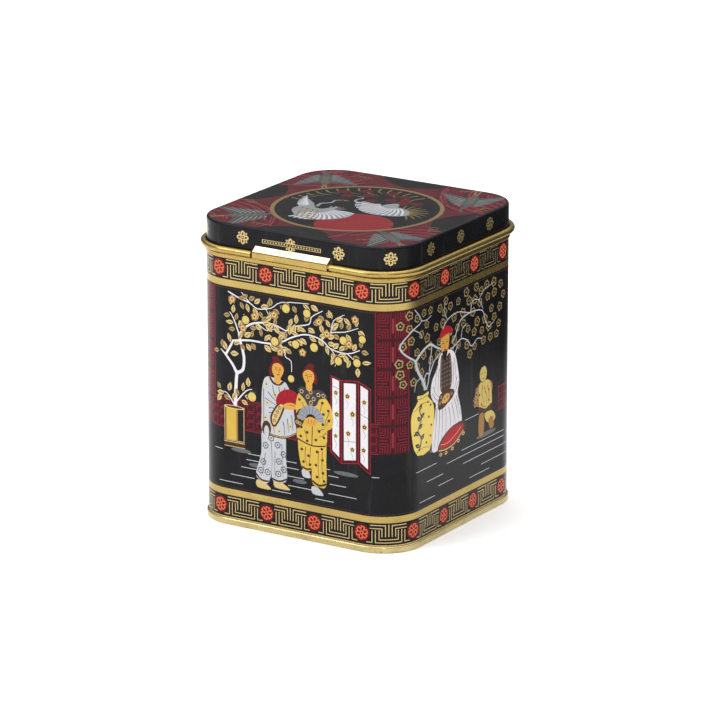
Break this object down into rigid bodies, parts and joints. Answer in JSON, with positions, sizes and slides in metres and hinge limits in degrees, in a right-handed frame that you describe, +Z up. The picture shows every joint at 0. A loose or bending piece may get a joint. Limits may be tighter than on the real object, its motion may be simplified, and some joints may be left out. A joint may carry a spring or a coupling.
{
  "type": "hinged-lid tin",
  "caption": "Square tinplate caddy with rounded corners, a rolled-edge lid hinged at the back and a lift lip at the front, printed all over in black, gold and red.",
  "frame": {"origin": "centre of the foot's flat underside", "axes": "+X along the front from left to right, +Y towards the hinge at the back, +Z up; the front with the lift lip faces -Y"},
  "size_m": [0.0798, 0.0798, 0.0984],
  "materials": {
    "printed_tinplate": "glossy varnish over printed inks",
    "gold_lacquered_tinplate": "transparent gold lacquer over bright tin",
    "tinned_wire": "tinned, drawn"
  },
  "bodies": {
    "tin_body": {"body_sleeve": "printed_tinplate", "bottom_end": "gold_lacquered_tinplate", "neck_ring": "gold_lacquered_tinplate", "hinge_leaf": "gold_lacquered_tinplate", "hinge_wire": "tinned_wire", "hinge_rivets": "tinned_wire"},
    "lid": {"lid_shell": "printed_tinplate"}
  },
  "joints": [
    {"name": "lid_hinge", "type": "hinge", "parent": "tin_body", "child": "lid", "pos_m": [0, 0.0388, 0.09005], "axis": [-1, 0, 0], "range_deg": [0, 110]}
  ]
}
